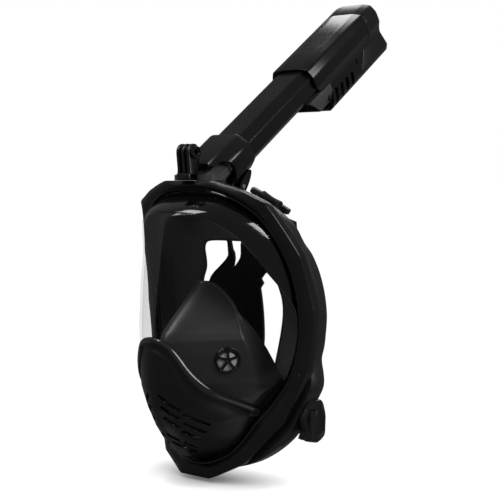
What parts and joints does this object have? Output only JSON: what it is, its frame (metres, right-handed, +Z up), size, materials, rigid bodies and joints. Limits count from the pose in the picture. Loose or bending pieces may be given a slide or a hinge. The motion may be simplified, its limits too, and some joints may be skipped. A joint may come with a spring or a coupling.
{
  "type": "full face snorkel",
  "caption": "Full face diving mask with a panoramic lens, silicone face skirt, slotted chin cover, head strap, camera fork and a breathing tube that folds back.",
  "frame": {"origin": "centre of the face opening, at the depth where the skirt seals on the face", "axes": "+Z up the face, towards the snorkel; +Y out of the back of the mask, towards the wearer's head; +X to the wearer's left; the lens faces -Y"},
  "size_m": [0.198, 0.3353, 0.4436],
  "materials": {
    "frame_black": "satin black moulded plastic, glossier at the bevel",
    "clamp_black": "fine-textured black moulded plastic",
    "lens_clear": "clear polycarbonate, polished",
    "cover_black": "satin black moulded plastic",
    "trim_gloss": "gloss charcoal bead",
    "skirt_silicone": "satin black silicone",
    "pocket_silicone": "translucent smoke silicone",
    "valve_black": "gloss black moulded plastic",
    "flap_grey": "pale grey silicone",
    "tube_black": "semi-gloss black moulded plastic",
    "scoop_grey": "satin grey moulded plastic",
    "float_orange": "closed-cell foam, pale",
    "steel": "bright stainless steel",
    "strap_black": "black woven elastic",
    "clip_black": "satin black acetal"
  },
  "bodies": {
    "mask": {"outer_frame": "frame_black", "frame_clamp": "clamp_black", "clamp_screws": "steel", "lens": "lens_clear", "chin_cover": "cover_black", "cover_trim": "trim_gloss", "face_skirt": "skirt_silicone", "nose_pocket": "pocket_silicone", "left_valve_seat": "valve_black", "right_valve_seat": "valve_black", "left_valve_flap": "flap_grey", "right_valve_flap": "flap_grey", "chin_valve_seat": "valve_black", "chin_valve_flap": "flap_grey", "snorkel_socket": "scoop_grey", "socket_seal": "flap_grey", "hinge_pin": "steel", "camera_fork": "frame_black", "camera_nut": "steel", "strap_panel": "strap_black", "left_upper_clip": "clip_black", "right_upper_clip": "clip_black", "left_lower_clip": "clip_black", "right_lower_clip": "clip_black", "left_upper_strap": "strap_black", "right_upper_strap": "strap_black", "left_lower_strap": "strap_black", "right_lower_strap": "strap_black"},
    "snorkel": {"snorkel_collar": "tube_black", "snorkel_tube": "tube_black", "drytop_housing": "tube_black", "drytop_cap": "tube_black", "intake_scoop": "scoop_grey", "float_cage": "valve_black", "float_seal": "flap_grey"},
    "float": {"float_block": "float_orange"}
  },
  "joints": [
    {"name": "snorkel_fold", "type": "hinge", "parent": "mask", "child": "snorkel", "pos_m": [0, -0.02618, 0.12036], "axis": [-1, 0, 0], "range_deg": [0, 95]},
    {"name": "float_slide", "type": "slide", "parent": "snorkel", "child": "float", "axis": [0, 0.8241, 0.5664], "range_m": [0, 0.009]}
  ]
}
